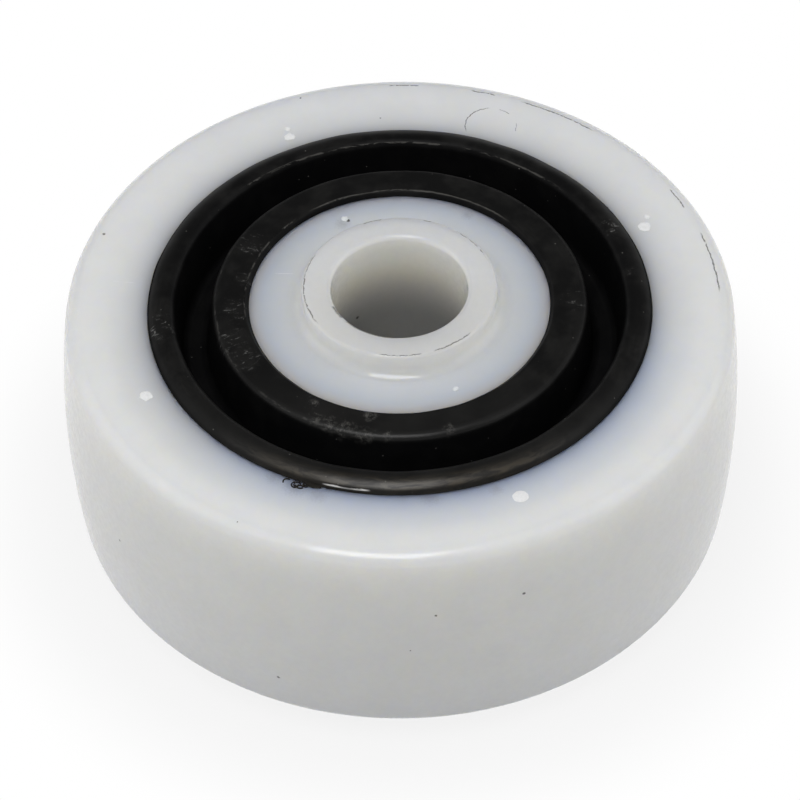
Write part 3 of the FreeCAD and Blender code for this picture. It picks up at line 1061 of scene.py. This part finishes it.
lip_level = ramp(rubber_tree, rubber_where["Height"], *TOUCHED_HEIGHT)
lip_touched = strongest(rubber_tree, lip_level, ramp(rubber_tree, rubber_radius, *TOUCHED_SHOULDER))
lip_touched = times(rubber_tree, lip_touched, ramp(rubber_tree, rubber_radius, *HUB_SIDE))
inner_lip = ramp(rubber_tree, rubber_radius, *INNER_LIP_ENDS, 1.0, 0.0)
outer_lip = ramp(rubber_tree, rubber_radius, *OUTER_LIP_RISES, *OUTER_LIP_SHARES)
lip_share = times(rubber_tree, lip_touched, strongest(rubber_tree, inner_lip, outer_lip))
rubber_shade = tint(rubber_tree, lip_share, RUBBER_BLACK, LIP_GREY)
print("lips of", black_rubber.name, "masked")

# %% [markdown]
# ## Rubber: noise along the ring
# Wear and the flow of rubber in the mould run round the ring, so plain noise looks wrong on it. This noise
# is drawn from the direction and the distance of a point, each with its own scale. It gives long streaks
# round the ring, and short scuffs across it.

# %% Rubber: streaks, scuffs and clouds
RING_MM = GROOVE_MIDDLE / MM
RING_CURL = 0.8
BLOOM_CLOUD_SCALE = 0.22
BLOOM_GRAIN_SCALE = 1.7
BLOOM_GRAIN_DETAIL = 5.0
BLOOM_GRAIN_ROUGHNESS = 0.75


def ring_noise(tree, where, around, across, detail, roughness):
    """Noise drawn out round the ring or across it, from its cells per millimetre in both directions."""
    heading = vector_of(tree, "NORMALIZE", vector_of(tree, "MULTIPLY", where["Place"], FLAT))
    reach = add_node(tree, "CombineXYZ", {"Z": times(tree, where["Radius"], across)}).outputs["Vector"]
    place = vector_of(tree, "ADD", scaled(tree, heading, around * RING_MM), reach)
    return noise_at(tree, place, 1.0, detail, roughness, RING_CURL)


streak = ring_noise(rubber_tree, rubber_where, around=0.3, across=1.2, detail=5.0, roughness=0.65)
scuff = ring_noise(rubber_tree, rubber_where, around=1.3, across=0.6, detail=4.0, roughness=0.7)
bloom_cloud = noise_at(rubber_tree, rubber_place, BLOOM_CLOUD_SCALE)
bloom_grain = noise_at(
    rubber_tree, rubber_place, BLOOM_GRAIN_SCALE, BLOOM_GRAIN_DETAIL, BLOOM_GRAIN_ROUGHNESS
)
print("ring noise on a circle of", round(RING_MM, 2), "mm")

# %% [markdown]
# ## Rubber: bloom
# Wax and chalk come out of old rubber as a pale bloom. On this ring it lies in large faint patches, where
# scuffs show up in it, and as specks along the front of the inner lip. Both are blots on the lips.

# %% Rubber: where the bloom lies
BLOOM_BEND_SCALE = 0.4
BLOOM_BEND = 1.2
PATCH_CORE = 0.1
EDGE_CORE = 0.0

bloom_bend = bend_at(rubber_tree, rubber_place, BLOOM_BEND_SCALE, BLOOM_BEND)


def lip_blots(core, rows):
    """Blots on the lips: rows of angle, distance from the axle and size."""
    on_lips = [(angle, reach, LIP_MM, size) for angle, reach, size in rows]
    return blot_marks(rubber_tree, rubber_place, bloom_bend, core, on_lips)


bloom_patches = lip_blots(PATCH_CORE, [
    (153.0, 25.0, 3.6),
    (169.0, 23.2, 1.7),
    (184.0, 24.0, 3.0),
    (197.0, 25.8, 3.2),
    (207.0, 24.6, 2.8),
    (-122.0, 24.0, 1.6),
    (-2.0, 25.6, 2.6),
    (-172.5, 34.8, 3.2),
    (24.0, 34.6, 2.6),
    (8.0, 33.6, 1.4),
])
bloom_edge = lip_blots(EDGE_CORE, [
    (-118.0, 26.2, 1.8),
    (-113.0, 26.6, 2.4),
    (-107.5, 26.8, 2.4),
    (-101.0, 26.8, 2.2),
    (-101.0, 23.2, 1.6),
    (-94.0, 26.8, 1.5),
    (-121.5, 23.9, 1.0),
    (-75.0, 26.6, 1.5),
])
print("bloom wired,", len(rubber_tree.nodes), "nodes so far")

# %% [markdown]
# ## Rubber: worn and painted highlight lines, haze and dust
# Broken pale lines along the edges of the lips are partly wear and partly painted highlights, where the
# roundings face the light. A thin haze lies over all that is touched and over the front, and single grains of
# dust stick to it. Bloom and painted highlights share one grey, so one mask takes the strongest of them. The
# scuffs in the patches are paler still.

# %% Rubber: pale marks
BLOOM_AND_GLINT_GREY = (0.11, 0.107, 0.10, 1)
SCUFF_GREY = (0.22, 0.22, 0.215, 1)
SLOPE_TOP = RUBBER_INSIDE / MM + 0.66
INNER_MOUTH_CIRCLE = 27.1
OUTER_MOUTH_CIRCLE = 33.3
OUTER_MOUTH_DROP = 0.4
WORN_AND_GLINT_STRENGTH = 0.7
HAZE_NOISE = (0.4, 0.65)
HAZE_STRENGTH = 0.12
GROOVE_HAZE = 0.25
NEAR_FRONT = (-25.0, -10.0)
NEAR_HAZE = 0.13
SPECK_NOISE = (0.4, 0.68)
PATCH_STRENGTH = 0.05
DUST_SCALE = 0.42
DUST_SIZE = (0.02, 0.06)
SCUFF_NOISE = (0.53, 0.7)
SCUFF_STREAK = (0.42, 0.6)
SCUFF_LEAST = 0.1

# These broken pale lines are partly wear and partly painted highlights on the roundings that face the light.
worn_and_glint_lines = dash_marks(rubber_tree, rubber_place, streak, [
    (AXLE, SLOPE_TOP, LIP_MM, 42.0, 128.0, 0.2, 0.4),
    (AXLE, SLOPE_TOP, LIP_MM, 128.0, 190.0, 0.22, 0.52),
    (AXLE, INNER_MOUTH_CIRCLE, LIP_MM, 150.0, 262.0, 0.4, 0.5),
    (AXLE, OUTER_MOUTH_CIRCLE, LIP_MM - OUTER_MOUTH_DROP, 40.0, 140.0, 0.24, 0.5),
])
haze = times(
    rubber_tree, ramp(rubber_tree, bloom_cloud, *HAZE_NOISE, 0.0, HAZE_STRENGTH), streak,
    ramp(rubber_tree, lip_touched, 0.0, 1.0, GROOVE_HAZE, 1.0),
)
near_front = ramp(rubber_tree, rubber_where["Back"], *NEAR_FRONT, NEAR_HAZE, 0.0)
dust = add_node(rubber_tree, "TexVoronoi", {"Vector": rubber_place, "Scale": DUST_SCALE}).outputs["Distance"]
pale = strongest(
    rubber_tree,
    haze,
    times(rubber_tree, bloom_edge, ramp(rubber_tree, bloom_grain, *SPECK_NOISE)),
    times(rubber_tree, bloom_patches, PATCH_STRENGTH),
    times(rubber_tree, near_front, bloom_cloud, lip_touched),
    times(rubber_tree, worn_and_glint_lines, WORN_AND_GLINT_STRENGTH),
    ramp(rubber_tree, dust, *DUST_SIZE, 1.0, 0.0),
)
rubber_shade = tint(rubber_tree, pale, rubber_shade, BLOOM_AND_GLINT_GREY)
scuffs = times(
    rubber_tree, bloom_patches, ramp(rubber_tree, scuff, *SCUFF_NOISE),
    ramp(rubber_tree, streak, *SCUFF_STREAK, SCUFF_LEAST, 1.0),
)
rubber_shade = tint(rubber_tree, scuffs, rubber_shade, SCUFF_GREY)
print("pale marks wired,", len(rubber_tree.nodes), "nodes so far")

# %% [markdown]
# ## Rubber: the shoulder
# The front of the outer shoulder is rubbed to a sheen. A brown tint in streaks is painted into the colour
# only where that sheen falls, to give it its warm colour. At one place the foot has a painted glint, a bright
# line in the colour. A mask of the shoulder is made once, for the painted brown here and for its sheen in
# the next cell.

# %% Rubber: painted brown of the sheen and a painted glint on the shoulder
SHOULDER_SHEEN_BROWN = (0.048, 0.036, 0.019, 1)
EDGE_GLINT = (0.75, 0.74, 0.72, 1)
SHOULDER_FRONT = (-34.5, -24.0)
SHOULDER_BACK = 0.05
SHOULDER_RISES = (34.2, 36.2)
SHOULDER_ENDS = (36.2, 36.6)
SHOULDER_END_SHARE = 0.25
SHEEN_BROWN_STREAK = (0.35, 0.65)
SHEEN_BROWN_SHARES = (0.1, 0.8)
GLINT_CIRCLE = 36.62
GLINT_DROP = 0.95

front = ramp(rubber_tree, rubber_where["Back"], *SHOULDER_FRONT, 1.0, SHOULDER_BACK)
shoulder = times(
    rubber_tree, ramp(rubber_tree, rubber_radius, *SHOULDER_RISES), front,
    ramp(rubber_tree, rubber_radius, *SHOULDER_ENDS, 1.0, SHOULDER_END_SHARE),
)
# Painted sheen colour: a streaky brown tint, only at the front where the sheen falls.
sheen_brown = times(rubber_tree, shoulder, ramp(rubber_tree, streak, *SHEEN_BROWN_STREAK, *SHEEN_BROWN_SHARES), front)
rubber_shade = tint(rubber_tree, sheen_brown, rubber_shade, SHOULDER_SHEEN_BROWN)
# A painted glint: a bright line in the colour at the foot of the shoulder, where light catches the edge.
painted_glint = dash_marks(rubber_tree, rubber_place, streak, [
    (AXLE, GLINT_CIRCLE, LIP_MM - GLINT_DROP, -107.5, -97.5, 0.2, 0.2),
])
rubber_shade = tint(rubber_tree, painted_glint, rubber_shade, EDGE_GLINT)
plug(rubber_tree, rubber_shader.inputs["Base Color"], rubber_shade)
print("colour of", black_rubber.name, "done,", len(rubber_tree.nodes), "nodes")

# %% [markdown]
# ## Rubber: satin and sheen
# The streaks also make the surface more and less rough, and stand a hair proud of it. A coat gives the sheen
# where the rubber was rubbed: on the front of the shoulder and on the front edge of the inner lip. The foot
# of the shoulder is dull.

# %% Rubber: roughness, bump and coat
SATIN_STREAK = (0.3, 0.7)
SATIN = (0.32, 0.44)
FOOT_STARTS = (36.45, 36.75)
FOOT_ROUGHNESS = 0.9
STREAK_BUMP = 0.15
STREAK_DEPTH = 0.1 * MM
SHEEN_STREAK = (0.35, 0.6)
SHEEN = (0.45, 0.92)
INNER_RUB_STARTS = (26.0, 26.6)
INNER_RUB_ENDS = (27.4, 27.8)
INNER_RUB = 0.36
INNER_RUB_FRONT = (-27.0, -16.0)
INNER_RUB_BACK = 0.1
COAT_ROUGHNESS = 0.34
SPECULAR_LEVEL = 0.05

satin = ramp(rubber_tree, streak, *SATIN_STREAK, *SATIN)
rubber_rough = ramp(rubber_tree, rubber_radius, *FOOT_STARTS, satin, FOOT_ROUGHNESS)
plug(rubber_tree, rubber_shader.inputs["Roughness"], rubber_rough)
rubber_bump = add_node(
    rubber_tree, "Bump", {"Height": streak, "Strength": STREAK_BUMP, "Distance": STREAK_DEPTH}
)
plug(rubber_tree, rubber_shader.inputs["Normal"], rubber_bump.outputs["Normal"])
sheen = times(rubber_tree, shoulder, ramp(rubber_tree, streak, *SHEEN_STREAK, *SHEEN))
inner_rub = times(
    rubber_tree, ramp(rubber_tree, rubber_radius, *INNER_RUB_STARTS, 0.0, INNER_RUB),
    ramp(rubber_tree, rubber_radius, *INNER_RUB_ENDS, 1.0, 0.0),
    ramp(rubber_tree, rubber_where["Back"], *INNER_RUB_FRONT, 1.0, INNER_RUB_BACK),
)
plug(rubber_tree, rubber_shader.inputs["Coat Weight"], strongest(rubber_tree, sheen, inner_rub))
rubber_shader.inputs["Coat Roughness"].default_value = COAT_ROUGHNESS
rubber_shader.inputs["Specular IOR Level"].default_value = SPECULAR_LEVEL
rubber.data.materials.append(black_rubber)
flash.data.materials.append(black_rubber)
print(black_rubber.name, len(rubber_tree.nodes), "nodes")

# %% [markdown]
# ## Floor
# The wheel lies on a white sweep, a floor that curves up into a wall all round, so that no edge or corner
# shows from any side. It is turned like the wheel, from an outline of three points that stays open.

# %% Make the sweep
SWEEP_RADIUS = 2.0
SWEEP_WALL = 0.45
SWEEP_CURVE = 0.3
SWEEP_STEPS = 96
SWEEP_SEGMENTS = 12

sweep_outline = [(0, -BOSS_END), (SWEEP_RADIUS, -BOSS_END), (SWEEP_RADIUS, SWEEP_WALL)]
sweep_mesh = spin_outline(sweep_outline, SWEEP_STEPS, closed=False)
foot_of_wall = [
    edge for edge in sweep_mesh.edges
    if all(abs(vert.co.z + BOSS_END) < NEAR and radius_of(vert) > SWEEP_RADIUS / 2 for vert in edge.verts)
]
round_edges(sweep_mesh, foot_of_wall, SWEEP_CURVE, SWEEP_SEGMENTS)
sweep = make_object("white_sweep", sweep_mesh)
print("sweep", len(sweep.data.polygons), "faces")

# %% [markdown]
# ## White paper
# A white background could be burnt out with more light, but that would bleach the wheel too. Seen by the
# camera or in a reflection, the paper is white by itself instead. Near the wheel a part of the real light is
# left in it, which keeps the shadow.

# %% Make the paper
PAPER_GREY = (0.54, 0.54, 0.54, 1)
WHITE = (1, 1, 1, 1)
SHADOW_SHARE = 0.14
SHADOW_REACH = (50.0, 72.0)

paper, paper_tree, plain_shader = new_finish("white_paper")
paper_tree.nodes.remove(plain_shader)
rays = add_node(paper_tree, "LightPath").outputs
seen = strongest(paper_tree, rays["Is Camera Ray"], rays["Is Glossy Ray"], rays["Is Transmission Ray"])
paper_radius = place_group(paper_tree, wheel_place)["Radius"]
white_share = ramp(paper_tree, paper_radius, *SHADOW_REACH, 1 - SHADOW_SHARE, 1.0)
paper_lit = add_node(paper_tree, "BsdfDiffuse", {"Color": PAPER_GREY})
paper_white = add_node(paper_tree, "Emission", {"Color": WHITE, "Strength": 1.0})
paper_mix = add_node(paper_tree, "MixShader")
plug(paper_tree, paper_mix.inputs[0], times(paper_tree, seen, white_share))
plug(paper_tree, paper_mix.inputs[1], paper_lit.outputs[0])
plug(paper_tree, paper_mix.inputs[2], paper_white.outputs[0])
plug(paper_tree, paper_tree.nodes["Material Output"].inputs["Surface"], paper_mix.outputs[0])
sweep.data.materials.append(paper)
print(paper.name, len(paper_tree.nodes), "nodes")

# %% [markdown]
# ## Light
# The light is soft: a pale room, one softbox above and in front, and one on each side. A small strong lamp
# would give hard glints, and its mirror image would burn out the flat white faces in a low view. So the side
# boxes are large and dim, about as bright as the paper that they stand before.

# %% Set the lights
ROOM_STRENGTH = 0.21

world = bpy.data.worlds.new("soft_room")
world.use_nodes = True
room = world.node_tree.nodes["Background"]
room.inputs["Color"].default_value = WHITE
room.inputs["Strength"].default_value = ROOM_STRENGTH
scene.world = world


def softbox(name, place, width, depth, watts):
    """A rectangular area light that faces the wheel."""
    lamp = bpy.data.lights.new(name, "AREA")
    lamp.shape = "RECTANGLE"
    lamp.size = width
    lamp.size_y = depth
    lamp.energy = watts
    box = bpy.data.objects.new(name, lamp)
    box.location = place
    box.rotation_euler = (-Vector(place)).to_track_quat("-Z", "Y").to_euler()
    scene.collection.objects.link(box)
    print(name, watts, "W at", place)


softbox("softbox_overhead", (-0.09, -0.36, 1.0), width=0.45, depth=0.63, watts=5.2)
softbox("softbox_left", (-0.72, 0.0, 0.42), width=0.85, depth=0.85, watts=1.84)
softbox("softbox_right", (0.72, 0.0, 0.42), width=0.85, depth=0.85, watts=2.12)

# %% [markdown]
# ## Camera
# The photographer stood off and used a long lens, so circles on the wheel look nearly like plain ellipses.
# The angle, the distance and the lens come from fitting those ellipses. A small shift puts the wheel where it
# stands in the picture.

# %% Set the camera
ELEVATION = math.radians(47.257)
ROLL = math.radians(-0.872)
DISTANCE = 0.6361
FOCAL_PIXELS = 4262.0
PICTURE = 800
WHEEL_AT = (400.93, 390.15)
SENSOR_WIDTH = 36

camera_data = bpy.data.cameras.new("camera")
camera_data.sensor_width = SENSOR_WIDTH
camera_data.lens = FOCAL_PIXELS / PICTURE * SENSOR_WIDTH
camera_data.shift_x = (PICTURE / 2 - WHEEL_AT[0]) / PICTURE
camera_data.shift_y = (WHEEL_AT[1] - PICTURE / 2) / PICTURE
camera = bpy.data.objects.new("camera", camera_data)
camera.location = DISTANCE * Vector((0, -math.cos(ELEVATION), math.sin(ELEVATION)))
aim = Matrix.Rotation(math.pi / 2 - ELEVATION, 4, "X") @ Matrix.Rotation(ROLL, 4, "Z")
camera.rotation_euler = aim.to_euler()
scene.collection.objects.link(camera)
scene.camera = camera
print("camera at", [round(x, 4) for x in camera.location], "lens", round(camera_data.lens, 1), "mm")
